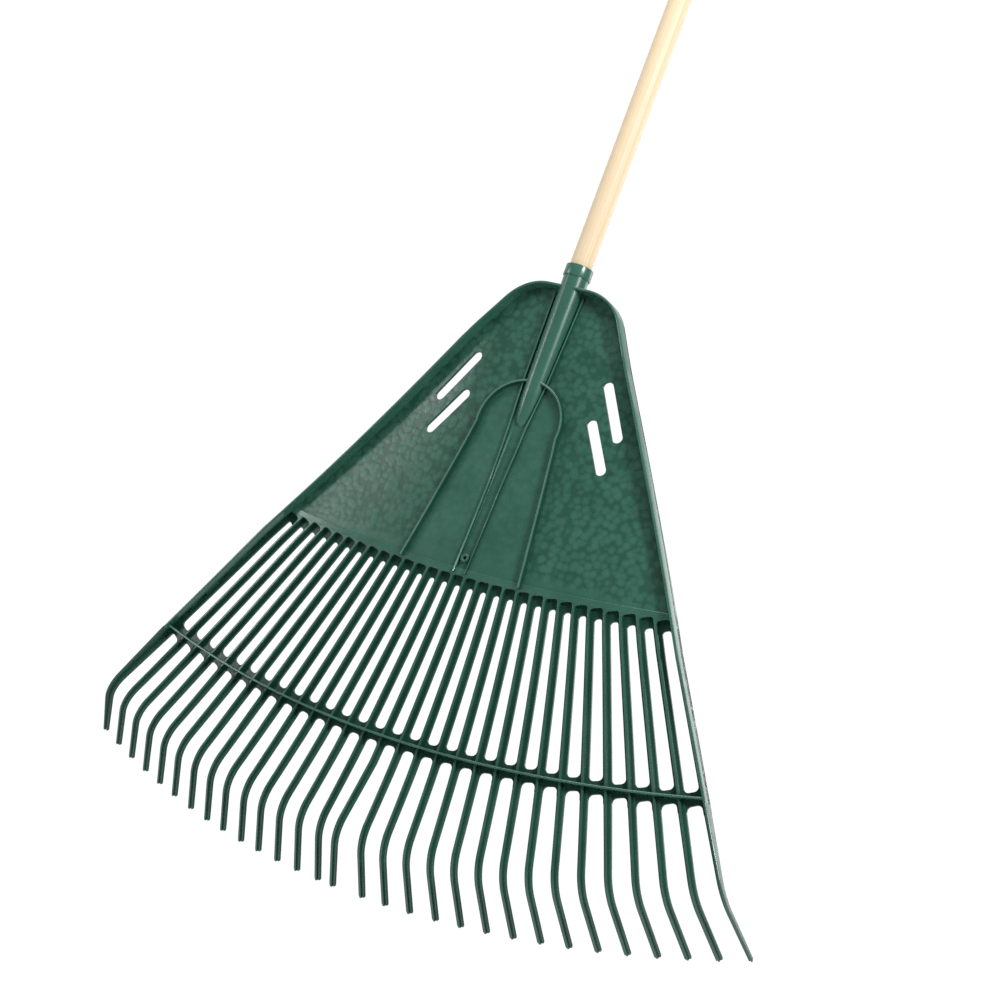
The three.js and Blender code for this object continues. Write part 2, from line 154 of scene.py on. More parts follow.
# how far the top of the panel leans back at a level
def leanBack(level):
    return bow["topSetback"] * smooth((bow["topFoot"] - level) / (bow["topFoot"] - panel["top"]))


# how far back the bowed surface lies
def lie(x, level):
    gain = 1 + bow["topGain"] * max(fan["slotTop"][0] - level, 0)
    sag = (level - bow["nearestBackAt"]) ** 2 / (2 * bow["lengthRadius"])
    out = smooth((abs(x) - bow["edgeStart"]) / (bow["edgeEnd"] - bow["edgeStart"]))
    across = gain * x * x / (2 * bow["crossRadius"]) + bow["edgeSetback"] * out
    return bow["setback"] - sag + across + leanBack(level)


# how far the panel's face stands out of the bowed surface
def face(x, level):
    border = fan["border"][0]
    down = arcLevel(x, level)
    swell = min(max((down - bow["swellFrom"]) / (border - bow["swellFrom"]), 0), 1)
    hollow = (bow["dishFoot"] - level) / (bow["dishFoot"] - panel["top"])
    hollow = min(max(hollow, 0), bow["dishLimit"])
    middle = max(1 - (x / bow["dishHalfWidth"]) ** 2, 0)
    dip = max(bow["dishDepth"] * hollow - leanBack(level), 0)
    groove = smooth((bow["grooveHalfWidth"] - abs(x)) / bow["grooveSide"])
    groove *= smooth((level - bow["grooveFrom"]) / bow["grooveRunIn"])
    groove *= smooth((border + bow["grooveRunOut"] / 2 - down) / bow["grooveRunOut"])
    return bow["swell"] * swell - dip * middle * middle - bow["grooveDepth"] * groove


# a closed outline from (corner, radius) pairs
def rounded(corners, steps=6):
    points = []
    for index, (corner, radius) in enumerate(corners):
        if radius == 0:
            points.append(corner.copy())
            continue
        before = (corners[index - 1][0] - corner).normalized()
        after = (corners[(index + 1) % len(corners)][0] - corner).normalized()
        half = before.angle(after) / 2
        centre = corner + (before + after).normalized() * (radius / math.sin(half))
        start = corner + before * (radius / math.tan(half)) - centre
        end = corner + after * (radius / math.tan(half)) - centre
        turn = math.atan2(start.x * end.y - start.y * end.x, start.dot(end))
        for step in range(steps + 1):
            points.append(centre + Matrix.Rotation(turn * step / steps, 2) @ start)
    return points


def stripOutline(path, width):
    left, right = [], []
    for index, point in enumerate(path):
        along = (path[min(index + 1, len(path) - 1)] - path[max(index - 1, 0)]).normalized()
        across = Vector((-along.y, along.x)) * width / 2
        left.append(point + across)
        right.append(point - across)
    return left + right[::-1]


edgeRounding = ((0.29, 0.71), (0.71, 0.29))  # two steps round an edge, inward and up


# a flat slab from outlines, holes included, with its front edges rounded
def slab(loops, back, front, rounding):
    part = bmesh.new()
    edges = []
    for loop in loops:
        verts = [part.verts.new((point.x, -back, point.y)) for point in loop]
        edges += [part.edges.new(pair) for pair in zip(verts, verts[1:] + verts[:1])]
    filled = bmesh.ops.triangle_fill(part, edges=edges, use_beauty=True, normal=(0, -1, 0))
    flat = [item for item in filled["geom"] if isinstance(item, bmesh.types.BMFace)]
    raised = bmesh.ops.extrude_face_region(part, geom=flat)["geom"]
    moved = [item for item in raised if isinstance(item, bmesh.types.BMVert)]
    cap = [item for item in raised if isinstance(item, bmesh.types.BMFace)]
    bmesh.ops.translate(part, verts=moved, vec=(0, -(front - back - rounding), 0))
    bmesh.ops.recalc_face_normals(part, faces=part.faces)
    for inward, up in edgeRounding:
        bmesh.ops.inset_region(part, faces=cap, thickness=rounding * inward, depth=rounding * up,
                               use_even_offset=True)
    return part


# how far apart a slab is cut, across and down, to follow the bow
cuts = {
    "face": (16, 16),
    "flange": (40, 24),
    "rim": (12, 16),
    "rib": (12, 12),
    "border": (16, 400),
}


def cutAcross(part, name, extraX=()):
    xStep, levelStep = cuts[name]
    xs = [vert.co.x for vert in part.verts]
    zs = [vert.co.z for vert in part.verts]
    planes = [((x, 0, 0), (1, 0, 0)) for x in extraX if min(xs) < x < max(xs)]
    for step in range(math.ceil(min(xs) / xStep), math.floor(max(xs) / xStep) + 1):
        planes.append(((step * xStep, 0, 0), (1, 0, 0)))
    for step in range(math.ceil(min(zs) / levelStep), math.floor(max(zs) / levelStep) + 1):
        planes.append(((0, 0, step * levelStep), (0, 0, 1)))
    for point, normal in planes:
        geom = part.verts[:] + part.edges[:] + part.faces[:]
        bmesh.ops.bisect_plane(part, geom=geom, dist=mergeDistance, plane_co=point, plane_no=normal)


# a turned part from the points of its profile
def lathe(points, centre, axis, sides):
    part = bmesh.new()
    verts = [part.verts.new(point) for point in points]
    edges = [part.edges.new(pair) for pair in zip(verts, verts[1:])]
    bmesh.ops.spin(part, geom=verts + edges, cent=centre, axis=axis, angle=math.tau, steps=sides,
                   use_merge=True)
    bmesh.ops.remove_doubles(part, verts=part.verts, dist=mergeDistance)
    return part


# the material slots of the head and of a tine
# the third head slot and the second tine slot hold a darker tint that is painted shade
headCoats = {"pebbled": 0, "smooth": 1, "paintedRecessShade": 2, "ribTopHighlight": 3}
tineCoats = {"green": 0, "paintedRecessShade": 1}
facing = 0.5  # a face is front or back when its normal leans this far that way


# front, sides and back are the material slots of a part's faces
def addTo(piece, part, front=0, sides=0, back=0):
    bmesh.ops.recalc_face_normals(part, faces=part.faces)
    for polygon in part.faces:
        lean = polygon.normal.y
        polygon.material_index = front if lean < -facing else sides if lean < facing else back
    bmesh.ops.scale(part, verts=part.verts, vec=(mm, mm, mm))
    bmesh.ops.translate(part, verts=part.verts, vec=(0, 0, fanZ))
    mesh = bpy.data.meshes.new("part")
    part.to_mesh(mesh)
    part.free()
    piece.from_mesh(mesh)
    bpy.data.meshes.remove(mesh)


# lay a flat part on the bowed surface and add it to the head
def lay(piece, part, standing=None, front="smooth", sides="smooth", back="smooth"):
    for vert in part.verts:
        x, out, level = vert.co.x, -vert.co.y, -vert.co.z
        if standing:
            out = standing(x, level, out)
        vert.co.y = lie(x, level) - out
    addTo(piece, part, headCoats[front], headCoats[sides], headCoats[back])


def finishPiece(name, piece, sharpDegrees=21):
    mesh = bpy.data.meshes.new(name)
    piece.to_mesh(mesh)
    piece.free()
    for polygon in mesh.polygons:
        polygon.use_smooth = True
    mesh.set_sharp_from_angle(angle=math.radians(sharpDegrees))
    made = bpy.data.objects.new(name, mesh)
    bpy.context.scene.collection.objects.link(made)
    return made


panel = {
    "top": 81.5,
    "cornerRadius": 50,
    "wall": 3,
    "rounding": 0.55,
    "rimWall": 2.6,
    "slotWidth": 10.6,
    "slots": [((76, 171), (102.5, 217.5)), ((73.6, 211.8), (98.5, 253.2))],
    "slotEndFlat": 0.05,
    "slotEndSteps": 10,
    "combSink": 0.4,  # how far the tines' ribs reach into the flange
    "flangeLap": 3,  # how far the flange runs up behind the face
}

tines = {
    "width": 8,
    "tipWidth": 6.4,
    "edgeTipWidth": 4.6,  # at the tips of the two outermost tines
    "tipShrink": 0.95,  # the end of a tip is this much smaller
    "tipMiddle": -0.6,  # it shrinks towards this distance out of the surface
    "wall": 2.8,
    "hair": 0.04,  # the free tine stands this proud of the stub it grows from
    "ribWidth": 2.6,
    "ribHeight": 4.6,
    "tipRibHeight": 2,
    "ribShort": 1,  # the panel's comb of ribs stops this far inside the crossbar's foot
    "bend": math.radians(47),
    "bendRadius": 40,
    "bendStart": 66,
    "stations": 8,  # along the straight, and again round the bend
    "endStations": (0.35, 0.7, 0.97, 1),
    "rounding": 0.55,
    "flangeRounding": 0.4,
    "barRibHeight": 9.5,
    "barRibWidth": 2.4,
    "barRibSink": 0.6,
    "barRibRounding": 0.8,
    "pocketCorner": 3,
    "slotCornerTop": 3,
    "slotCornerFoot": 4.6,
    "slotCornerSteps": 5,
    "stub": 7,
    "root": 2,  # a free tine starts this far up inside the crossbar
    "hingeBelowBar": 20.15,
    "flexAbove": 8,  # a distance above the hinge; nothing is bent from it
    "flexBelow": 50,
    # how far some tips have strayed sideways in use
    "stray": {6: 1.5, 7: 1.5, 10: -2, 11: -2.5, 12: -3, 13: -3, 14: -11, 15: -2.5, 16: -2.5, 17: -1.5},
}
edgeOffset = tines["width"] / 2 - 1  # from the outermost tine's line to the outside of the rim


def edgePoint(level, inset):
    side = edgeOffset - inset
    along = (level + side * math.sin(tipAngle)) / math.cos(tipAngle)
    return onLine(tipAngle, along, side)


def flip(point):
    return Vector((-point.x, point.y))


def tineEnd(angle, push):
    return reach(fan["barFoot"], angle) + push


# the panel and the ribs of the tines are one face, so they are one slab shaped like a comb
def combOutline():
    top = edgePoint(panel["top"], 0)
    radius = panel["cornerRadius"]
    corners = [(flip(top), radius), (top, radius)]
    half = tines["ribWidth"] / 2
    rimInside = edgeOffset - panel["rimWall"]
    for index in range(lastTine, -1, -1):
        angle = lineAngle(index)
        outer = edgeOffset if index == lastTine else -rimInside if index == 0 else half
        inner = rimInside if index == lastTine else -edgeOffset if index == 0 else -half
        foot = tineEnd(angle, -tines["ribShort"])
        corners += [(onLine(angle, foot, outer), 0), (onLine(angle, foot, inner), 0)]
        if index == 0:
            continue
        beside = lineAngle(index - 1)
        nextOuter = -rimInside if index == 1 else half
        crown = reach(fan["pocketTop"], (angle + beside) / 2)
        corners += [(onLine(angle, crown, inner), tines["pocketCorner"]),
                    (onLine(beside, crown, nextOuter), tines["pocketCorner"])]
    return rounded(corners)


def panelSlot(ends, side):
    top, foot = [Vector((side * x, -level)) for x, level in ends]
    along = (foot - top).normalized() * panel["slotWidth"] / 2
    across = Vector((-along.y, along.x))
    radius = panel["slotWidth"] / 2 - panel["slotEndFlat"]
    corners = [top - along + across, top - along - across, foot + along - across, foot + along + across]
    return rounded([(corner, radius) for corner in corners], panel["slotEndSteps"])


def makeFace(piece):
    loops = [combOutline()]
    loops += [panelSlot(ends, side) for ends in panel["slots"] for side in (-1, 1)]
    part = slab(loops, 0, panel["wall"], panel["rounding"])
    grooveSides = [bow["grooveHalfWidth"] - bow["grooveSide"] * share for share in (0, 0.5, 1)]
    cutAcross(part, "face", [-x for x in grooveSides] + grooveSides[::-1])

    def standing(x, level, out):
        if out <= 0 and arcLevel(x, level) >= fan["border"][0]:
            return -panel["combSink"]
        return face(x, level) - panel["wall"] + out
    lay(piece, part, standing, front="pebbled", sides="paintedRecessShade")


def makeFlange(piece):
    half = tines["width"] / 2
    corners = []
    for index in range(lastTine, -1, -1):
        angle = lineAngle(index)
        outer = edgeOffset if index == lastTine else half
        inner = -edgeOffset if index == 0 else -half
        foot = tineEnd(angle, tines["stub"])
        corners += [(onLine(angle, foot, outer), 0), (onLine(angle, foot, inner), 0)]
        if index > 0:
            beside = lineAngle(index - 1)
            crown = tineEnd((angle + beside) / 2, 0)
            corners += [(onLine(angle, crown, -half), tines["slotCornerFoot"]),
                        (onLine(beside, crown, half), tines["slotCornerFoot"])]
    lap = panel["flangeLap"]
    side = onLine(tipAngle, reach(fan["border"], tipAngle) - lap, edgeOffset)
    # an odd number of steps, because no point may fall where the slab is cut down its middle
    top = arcPoints(fan["border"], -tipAngle, tipAngle, 31, -lap)[1:-1]
    corners += [(point, 0) for point in [flip(side)] + top + [side]]
    loops = [rounded(corners, tines["slotCornerSteps"])]
    for index in range(lastTine):
        left, right = lineAngle(index), lineAngle(index + 1)
        crown = reach(fan["slotTop"], (left + right) / 2)
        foot = reach(fan["barTop"], (left + right) / 2)
        loops.append(rounded([
            (onLine(left, crown, half), tines["slotCornerTop"]),
            (onLine(right, crown, -half), tines["slotCornerTop"]),
            (onLine(right, foot, -half), tines["slotCornerFoot"]),
            (onLine(left, foot, half), tines["slotCornerFoot"]),
        ], tines["slotCornerSteps"]))
    part = slab(loops, -tines["wall"], 0, tines["flangeRounding"])
    cutAcross(part, "flange")
    lay(piece, part, front="paintedRecessShade", sides="paintedRecessShade")


rim = {
    "heightAtTop": 12.4,
    "height": 14.6,
    "heightAtBar": 11,
    "rounding": 0.9,
    "drawn": 10,  # its height before it is laid on the head
    "sink": 0.8,
    "cornerSteps": 14,
}


def rimHeightAt(x, level):
    down = arcLevel(x, level)
    border, bar = fan["border"][0], fan["barTop"][0]
    if down > border:
        share = min((down - border) / (bar - border), 1)
        return rim["height"] + (rim["heightAtBar"] - rim["height"]) * share
    share = (down - panel["top"]) / (border - panel["top"])
    return rim["heightAtTop"] + (rim["height"] - rim["heightAtTop"]) * share


def makeRim(piece):
    foot = tineEnd(tipAngle, -tines["ribShort"])

    def side(inset):
        top = edgePoint(panel["top"] + inset, inset)
        low = onLine(tipAngle, foot, edgeOffset - inset)
        radius = panel["cornerRadius"] - inset
        return rounded([(flip(low), 0), (flip(top), radius), (top, radius), (low, 0)], rim["cornerSteps"])
    part = slab([side(0) + side(panel["rimWall"])[::-1]], 0, rim["drawn"], rim["rounding"])
    cutAcross(part, "rim")

    def standing(x, level, out):
        if out <= 0:
            return min(face(x, level) - rim["sink"], -tines["wall"])
        return rimHeightAt(x, level) - rim["drawn"] + out
    lay(piece, part, standing)


arch = {
    "top": 184,
    "radius": 46,
    "spread": 68,  # half the distance between its feet
    "footPast": 0.5,
    "height": 6,
    "width": 2.4,
    "rounding": 0.7,
    "steps": 32,
}

channel = {
    "path": [(88, 16.5), (181, 13.5), (232, 9.6), (294, 7.3), (390, 6.6)],  # level, and half the gap
    "height": 3,
    "width": 1.8,
    "rounding": 0.6,
}

gate = {
    "level": 374,
    "radius": 4.3,
    "pitRadius": 1.9,
    "height": 4,
    "rounding": 0.7,
    "steps": 32,
}
ribSink = 1.2  # how far a rib on the panel reaches into it


def onFace(x, level, out):
    return face(x, level) + (out if out > 0 else -ribSink)


def makeRib(piece, path, rib):
    part = slab([stripOutline(path, rib["width"])], 0, rib["height"], rib["rounding"])
    cutAcross(part, "rib")
    # the tops of these ribs get a paler tint that is painted highlight
    lay(piece, part, onFace, front="ribTopHighlight", sides="paintedRecessShade")


def archPath():
    centre = Vector((0, -(arch["top"] + arch["radius"])))
    foot = Vector((arch["spread"], -(fan["border"][0] + arch["footPast"])))
    lean = math.atan((foot.x - arch["radius"]) / (centre.y - foot.y))
    sweep = math.pi + 2 * lean
    angles = [-lean + sweep * step / arch["steps"] for step in range(arch["steps"] + 1)]
    curve = [centre + Vector((math.cos(a), math.sin(a))) * arch["radius"] for a in angles]
    return [foot] + curve + [flip(foot)]


def makePanelRibs(piece):
    makeRib(piece, archPath(), arch)
    for side in (-1, 1):
        makeRib(piece, [Vector((side * x, -level)) for level, x in channel["path"]], channel)


# the small round boss where the plastic was let in, with its pit
def makeGate(piece):
    middle = Vector((0, -gate["level"]))
    angles = [math.tau * step / gate["steps"] for step in range(gate["steps"])]
    ring = [Vector((math.cos(a), math.sin(a))) for a in angles]
    outer = [middle + point * gate["radius"] for point in ring]
    pit = [middle + point * gate["pitRadius"] for point in ring[::2]]
    lay(piece, slab([outer, pit], 0, gate["height"], gate["rounding"]), onFace)


borderStrip = {
    "width": 6.5,
    "height": 1.2,
    "proud": 0.06,
    "drawn": 2,
    "rounding": 0.5,
    "sink": 1,
    "intoRim": 1,
}


# the sloping strip between the panel's face and the pockets
def makeBorder(piece):
    width, lap = borderStrip["width"], panel["flangeLap"]
    inRim = panel["rimWall"] - edgeOffset + borderStrip["intoRim"]
    edge = tipAngle - inRim / reach(fan["border"], tipAngle)
    upper = arcPoints(fan["border"], -edge, edge, arcSteps, lap - width)
    lower = arcPoints(fan["border"], edge, -edge, arcSteps, lap)
    part = slab([upper + lower], 0, borderStrip["drawn"], borderStrip["rounding"])
    cutAcross(part, "border")
    top = fan["border"][0] + lap - width

    def standing(x, level, out):
        if out <= 0:
            return face(x, level) - borderStrip["sink"]
        share = (arcLevel(x, level) - top) / width
        slope = borderStrip["height"] * (1 - share) + borderStrip["proud"]
        return face(x, level) + out - borderStrip["drawn"] + slope
    lay(piece, part, standing)


def makeBarRib(piece):
    middle = [(top + foot) / 2 for top, foot in zip(fan["barTop"], fan["barFoot"])]
    edge = tipAngle * (1 + (edgeOffset - panel["rimWall"] / 2) / (fan["widthAtTips"] / 2))
    path = arcPoints(middle, -edge, edge, arcSteps)
    outline = stripOutline(path, tines["barRibWidth"])
    part = slab([outline], -tines["barRibSink"], tines["barRibHeight"], tines["barRibRounding"])
    lay(piece, part, sides="paintedRecessShade")


socket = {
    "mouth": 58.3,
    "mouthChamfer": 0.5,
    "collarRadius": 14.2,
    "collarFoot": 70.3,
    "collarRound": 0.7,
    "tube": [  # radius and level
        (13.1, 70.3), (12.9, 80), (11.2, 178), (10.2, 205), (8.4, 222), (6.6, 229), (4, 231.6), (0, 232),
    ],
    "boreRadius": 11.6,
    "boreDepth": 6,
    "sides": 72,
}


def makeSocket(piece):
    outside, soft = socket["collarRadius"], socket["collarRound"]
    bore, mouth, chamfer = socket["boreRadius"], socket["mouth"], socket["mouthChamfer"]
    floor = mouth + socket["boreDepth"]
    profile = [(0, floor), (bore, floor), (bore, mouth + chamfer), (bore + chamfer, mouth)]
    for start, level in ((math.pi / 2, mouth + soft), (0, socket["collarFoot"] - soft)):
        for step in range(4):
            angle = start - math.pi / 6 * step
            profile.append((outside - soft + soft * math.cos(angle), level - soft * math.sin(angle)))
    profile += socket["tube"]
    points = [(radius, 0, -level) for radius, level in profile]
    part = lathe(points, (0, 0, 0), (0, 0, 1), socket["sides"])
    plain = headCoats["smooth"]
    addTo(piece, part, plain, plain, plain)


def tinePath(angle):
    steps = tines["stations"]
    start = tineEnd(angle, -tines["root"])
    end = reach(fan["tips"], angle)
    bend = end - tines["bendStart"]
    path = []
    for step in range(steps):
        along = start + (bend - start) * step / (steps - 1)
        # the slope is taken over 2 mm
        here, there = [lie(a * math.sin(angle), a * math.cos(angle)) for a in (along - 1, along + 1)]
        path.append((along, (here + there) / 2, math.atan2(there - here, 2)))
    turn = tines["bend"] / steps
    chord = 2 * tines["bendRadius"] * math.sin(turn / 2)
    along, y, heading = path[-1]
    for step in range(steps):
        along += chord * math.cos(heading + turn / 2)
        y += chord * math.sin(heading + turn / 2)
        heading += turn
        path.append((along, y, heading))
    slope = math.tan(heading)
    for share in tines["endStations"]:
        place = along + (end - along) * share
        path.append((place, y + (place - along) * slope, heading))
    return path


# three points round a front corner, from the flank to the face
def softCorner(across, out, side):
    soft = tines["rounding"]
    near = soft * 0.3
    return [(across, out - soft), (across - side * near, out - near), (across - side * soft, out)]


# across and out of a tine's section, with its front edges rounded
def tineSection(index):
    hair = tines["hair"]
    half = tines["width"] / 2 + hair
    ribLeft, ribRight = -tines["ribWidth"] / 2 - hair, tines["ribWidth"] / 2 + hair
    left, right = -half, half
    if index == lastTine:
        right = ribRight = edgeOffset + hair
        ribLeft = edgeOffset - panel["rimWall"] - hair
    if index == 0:
        left = ribLeft = -edgeOffset - hair
        ribRight = -edgeOffset + panel["rimWall"] + hair
    back, top = -tines["wall"] - hair, tines["ribHeight"] + hair
    section = [(left, back), (right, back)]
    if index < lastTine:
        section += softCorner(right, hair, 1) + [(ribRight, hair)]
    section += softCorner(ribRight, top, 1) + softCorner(ribLeft, top, -1)[::-1]
    if index > 0:
        section += [(ribLeft, hair)] + softCorner(left, hair, -1)[::-1]
    return section


def makeTine(index):
    angle = lineAngle(index)
    path = tinePath(angle)
    outermost = index in (0, lastTine)
    part = bmesh.new()
    part.faces.new([part.verts.new((across, out, 0)) for across, out in tineSection(index)])
    cap = part.faces[:]
    for step in range(len(path) - 1):
        raised = bmesh.ops.extrude_face_region(part, geom=cap)["geom"]
        cap = [item for item in raised if isinstance(item, bmesh.types.BMFace)]
        moved = [item for item in raised if isinstance(item, bmesh.types.BMVert)]
        bmesh.ops.translate(part, verts=moved, vec=(0, 0, 1))
    high = rim["heightAtBar"] if outermost else tines["ribHeight"]
    low = tines["tipRibHeight"]
    tipShare = (tines["edgeTipWidth"] if outermost else tines["tipWidth"]) / tines["width"]
    start, end = path[0][0], path[-1][0]
    hinge = tineEnd(angle, tines["hingeBelowBar"])
    for vert in part.verts:
        across, out, step = vert.co.x, vert.co.y, round(vert.co.z)
        along, y, heading = path[step]
        share = (along - start) / (end - start)
        if out > 2 * tines["hair"]:  # only the rib gets lower towards the tip
            out += (high + (low - high) * share - tines["ribHeight"]) * (out / tines["ribHeight"])
        tip = tines["tipShrink"] if step == len(path) - 1 else 1
        across *= tip * (1 + (tipShare - 1) * share)
        out = tines["tipMiddle"] + (out - tines["tipMiddle"]) * tip
        across += tines["stray"].get(index, 0) * max(along - hinge, 0) / (end - hinge)
        flat = onLine(angle, along + out * math.sin(heading), across)
        vert.co = (flat.x, y - out * math.cos(heading), flat.y)
    piece = bmesh.new()
    addTo(piece, part, sides=tineCoats["paintedRecessShade"])
    made = finishPiece(f"tineSpring{index + 1:02d}", piece)
    for along in (hinge - tines["flexAbove"], hinge + tines["flexBelow"]):
        flat = onLine(angle, along)
    body = f"tine_{index + 1:02d}"
    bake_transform(made)
    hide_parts(body)
    return made


pole = {
    "radius": 11.5,
    "step": 0.3,
    "stepEdge": 0.7,  # the step starts at this share of its depth and ends this far up
    "stepRunOut": 0.4,
    "shoulder": 4.5,
    "tipRadius": 8.4,
    "endRound": 3,
    "sides": 64,
}


def makePole():
    height = (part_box("pole")[1][2] - fanZ) / mm
    shoulder = socket["mouth"] - pole["shoulder"]
    radius, step, soft, edge = pole["radius"], pole["step"], pole["endRound"], pole["stepEdge"]
    profile = [(0, -fan["poleEnd"]), (pole["tipRadius"], -fan["poleEnd"]),
               (radius - step, -shoulder - pole["stepRunOut"]),
               (radius - step * edge, -shoulder), (radius, -shoulder + edge)]
    for share in (0.25, 0.5, 0.75):  # rings along the straight
        profile.append((radius, -shoulder + (height - soft + shoulder) * share))
    for turn in range(7):
        angle = math.pi / 12 * turn
        profile.append((radius - soft + soft * math.cos(angle), height - soft + soft * math.sin(angle)))
    profile.append((0, height))
    piece = bmesh.new()
    addTo(piece, lathe([(r, 0, z) for r, z in profile], (0, 0, 0), (0, 0, 1), pole["sides"]))
    made = finishPiece("turnedPole", piece)
    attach(made, "rake")
    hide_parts("pole")
    return made


screw = {
    "level": 108,
    "seatDepth": 2.4,  # from the top of the head down to its seat
    "flangeRadius": 4.1,
    "flangeEdge": 0.5,
    "flangeHeight": 0.9,
    "hexRadius": 3.2,
    "hexFoot": 0.3,
    "hexTop": 2.3,
    "hexBevel": 0.25,
    "shank": 1.9,
    "point": 2,
    "sides": 40,
}


def makeScrew():
    low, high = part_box("socket_screw")
    pointY, seat = low[1] / mm, high[1] / mm - screw["seatDepth"]
    crown = seat + screw["flangeHeight"]
    profile = [(0, pointY), (screw["shank"], pointY + screw["point"]), (screw["shank"], seat),
               (screw["flangeRadius"], seat), (screw["flangeRadius"], seat + screw["flangeEdge"]),
               (screw["hexRadius"], crown), (0, crown)]
    points = [(radius, y, -screw["level"]) for radius, y in profile]
    piece = bmesh.new()
    addTo(piece, lathe(points, (0, 0, -screw["level"]), (0, 1, 0), screw["sides"]))
    nut = bmesh.new()
    depth = screw["hexTop"] - screw["hexFoot"]
    middle = Matrix.Translation((0, seat + screw["hexFoot"] + depth / 2, -screw["level"]))
    bmesh.ops.create_cone(nut, cap_ends=True, segments=6, radius1=screw["hexRadius"],
                          radius2=screw["hexRadius"], depth=depth,
                          matrix=middle @ Matrix.Rotation(-math.pi / 2, 4, "X"))
    bmesh.ops.bevel(nut, geom=nut.edges[:], offset=screw["hexBevel"], offset_type="OFFSET", segments=2,
                    profile=0.5, affect="EDGES", material=-1)
    addTo(piece, nut)
    made = finishPiece("hexScrew", piece)
    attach(made, "rake")
    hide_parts("socket_screw")
    return made


def newGroup(name, inputs, outputs):
    group = bpy.data.node_groups.new(name, "ShaderNodeTree")
    for label, kind, value in inputs:
        made = group.interface.new_socket(name=label, in_out="INPUT", socket_type=kind)
        made.default_value = value
    for label, kind in outputs:
        group.interface.new_socket(name=label, in_out="OUTPUT", socket_type=kind)
    return group, group.nodes.new("NodeGroupInput"), group.nodes.new("NodeGroupOutput")


def newMaterial(name):
    material = bpy.data.materials.new(name)
    material.use_nodes = True
    return material, material.node_tree, material.node_tree.nodes["Principled BSDF"]


def addNode(tree, kind, **values):
    node = tree.nodes.new(kind)
    for name, value in values.items():
        setattr(node, name, value)
    return node


def objectPlace(tree):
    return addNode(tree, "ShaderNodeTexCoord").outputs["Object"]


def textureNode(tree, kind, place, inputs, **values):
    node = addNode(tree, kind, **values)
    tree.links.new(place, node.inputs["Vector"])
    for label, value in inputs.items():
        node.inputs[label].default_value = value
    return node


def mathNode(tree, operation, first, second=None, third=None, clamp=False):
    node = addNode(tree, "ShaderNodeMath", operation=operation, use_clamp=clamp)
    for index, value in enumerate((first, second, third)):
        if value is None:
            continue
        if isinstance(value, (int, float)):
            node.inputs[index].default_value = value
        else:
            tree.links.new(value, node.inputs[index])
    return node.outputs[0]


# stops are (position, colour) pairs
def rampNode(tree, factor, stops):
    node = addNode(tree, "ShaderNodeValToRGB")
    elements = node.color_ramp.elements
    for position, colour in stops[1:-1]:
        elements.new(position).color = colour
    for element, (position, colour) in ((elements[0], stops[0]), (elements[-1], stops[-1])):
        element.position = position
        element.color = colour
    tree.links.new(factor, node.inputs["Fac"])
    return node.outputs["Color"]


def bumpNode(tree, height, strength, depth):
    node = addNode(tree, "ShaderNodeBump")
    node.inputs["Strength"].default_value = strength
    node.inputs["Distance"].default_value = depth
    tree.links.new(height, node.inputs["Height"])
    return node


def varyRoughness(tree, shader, source, finish):
    spread = finish["roughnessSpread"]
    rough = mathNode(tree, "MULTIPLY_ADD", source, spread, finish["roughness"] - spread / 2)
    tree.links.new(rough, shader.inputs["Roughness"])


plastic = {
    "green": (0.027, 0.100, 0.070, 1),
    "worn": (0.034, 0.112, 0.080, 1),
    "deep": (0.022, 0.087, 0.060, 1),
    "waveStops": (0.3, 0.5, 0.72),  # where the slow wave turns deep, green and worn
    "roughness": 0.27,
    "roughnessSpread": 0.16,
    "grainScale": 2200,
    "grainBump": 0.05,
    "grainDepth": 0.0002,
    "waveScale": 26,
    "mottleScale": 110,
    "ribPaintedShade": 0.35,  # painted shade: the ribs of the tines are a little darker than the panel
    # painted shade: the free tines are a little darker too
    "tine": (0.82, 0.86, 0.85, 1),
    "ribTopHighlight": (1.75, 1.4, 1.45, 1),  # painted highlight: the tops of the panel's ribs are a little paler
    "paintedRecessShade": (0.42, 0.5, 0.48, 1),  # painted shade: a darker tint in the pockets and beside the ribs
    "recessGloss": 0.3,
    "specular": 0.5,
}

pebbles = {
    "scale": 135,
    "randomness": 0.8,
    "warpScale": 60,
    "warp": 0.004,
    "insideArch": 0.35,  # how strong they are inside the arch rib
    "endAbove": 8,  # they end this far above the border
    "endSlope": 0.08,
    "dentReach": 1.5,
    "dentPower": 3,
    "bump": 0.16,
    "depth": 0.0004,
    # painted shade: the colour the creases between the cells are darkened towards
    "paintedShade": (0.5, 0.64, 0.6, 1),
}


# fine spark-eroded grain and slow unevenness of a moulded surface
def makeMouldGroup():
    group, given, put = newGroup("mouldedSurface", [
        ("Grain Scale", "NodeSocketFloat", plastic["grainScale"]),
        ("Wave Scale", "NodeSocketFloat", plastic["waveScale"]),
    ], [("Grain", "NodeSocketFloat"), ("Wave", "NodeSocketFloat"), ("Mottle", "NodeSocketFloat")])
    place = objectPlace(group)
    for name, detail in (("Grain", 3), ("Wave", 2)):
        noise = textureNode(group, "ShaderNodeTexNoise", place, {"Detail": detail, "Roughness": 0.6})
        group.links.new(given.outputs[name + " Scale"], noise.inputs["Scale"])
        group.links.new(noise.outputs["Fac"], put.inputs[name])
    mottle = textureNode(group, "ShaderNodeTexNoise", place, {"Scale": plastic["mottleScale"], "Detail": 4})
    group.links.new(mottle.outputs["Fac"], put.inputs["Mottle"])
    return group
